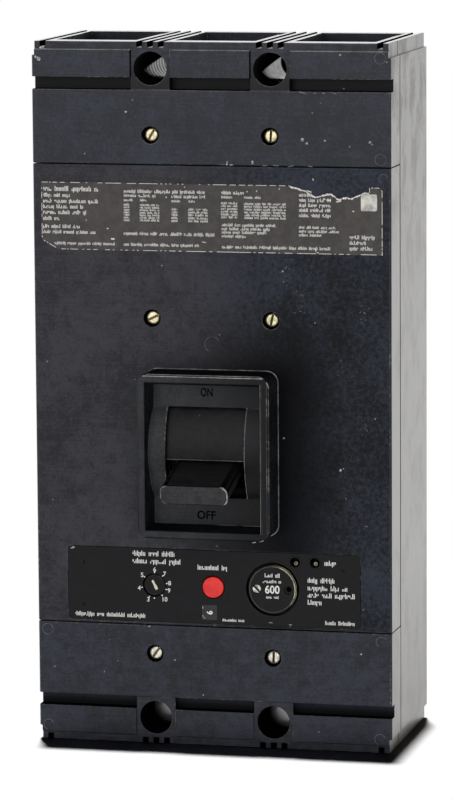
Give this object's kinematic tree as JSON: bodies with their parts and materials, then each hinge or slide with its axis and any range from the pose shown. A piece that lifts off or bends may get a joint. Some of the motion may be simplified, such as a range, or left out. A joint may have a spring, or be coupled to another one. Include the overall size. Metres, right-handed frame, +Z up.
{
  "type": "three-pole moulded-case circuit breaker",
  "caption": "Black moulded-case circuit breaker with a toggle handle in a raised collar, a trip unit with dial, button and rating plug, and terminal wells at both ends.",
  "frame": {"origin": "on the floor plane of the load end, under the middle of the box that holds the part with its handle at OFF", "axes": "+Z up from the load end to the line end, the cover and handle face -Y, the mounting face is +Y, +X is to the right as seen from the front"},
  "size_m": [0.2096, 0.149, 0.4064],
  "materials": {
    "case_phenolic": "smooth moulded black phenolic with a soft gloss",
    "handle_phenolic": "smooth moulded black phenolic, handled",
    "trip_phenolic": "moulded black, satin",
    "faceplate": "printed dark plate with light lettering",
    "red_plastic": "bright red moulded button",
    "screw_metal": "yellow passivated slotted screws",
    "steel": "plated steel",
    "copper": "bare copper straps, a little dull"
  },
  "bodies": {
    "case": {"base": "case_phenolic", "main_cover": "case_phenolic", "line_terminal_cover": "case_phenolic", "load_terminal_cover": "case_phenolic", "handle_collar": "handle_phenolic", "handle_pin": "steel", "trip_unit": "trip_phenolic", "trip_faceplate": "faceplate", "rating_plug": "trip_phenolic", "rating_plug_screw": "screw_metal", "test_jack_left": "steel", "test_jack_right": "steel", "line_terminal_left": "copper", "line_terminal_centre": "copper", "line_terminal_right": "copper", "load_terminal_left": "copper", "load_terminal_centre": "copper", "load_terminal_right": "copper", "line_cover_screw_left": "screw_metal", "line_cover_screw_right": "screw_metal", "main_cover_screw_left": "screw_metal", "main_cover_screw_right": "screw_metal", "load_cover_screw_left": "screw_metal", "load_cover_screw_right": "screw_metal"},
    "handle": {"handle": "handle_phenolic"},
    "trip_button": {"trip_button": "red_plastic"},
    "trip_dial": {"trip_dial": "trip_phenolic", "dial_pointer": "screw_metal"}
  },
  "joints": [
    {"name": "handle_throw", "type": "hinge", "parent": "case", "child": "handle", "pos_m": [0, 0.00135, 0.1734], "axis": [-1, 0, 0], "range_deg": [-7, 35]},
    {"name": "trip_push", "type": "slide", "parent": "case", "child": "trip_button", "axis": [0, 1, 0], "range_m": [0, 0.004], "stiffness_N_per_m": 400},
    {"name": "dial_turn", "type": "hinge", "parent": "case", "child": "trip_dial", "pos_m": [-0.035, -0.02825, 0.0933], "axis": [0, 1, 0], "range_deg": [-130, 171]}
  ]
}
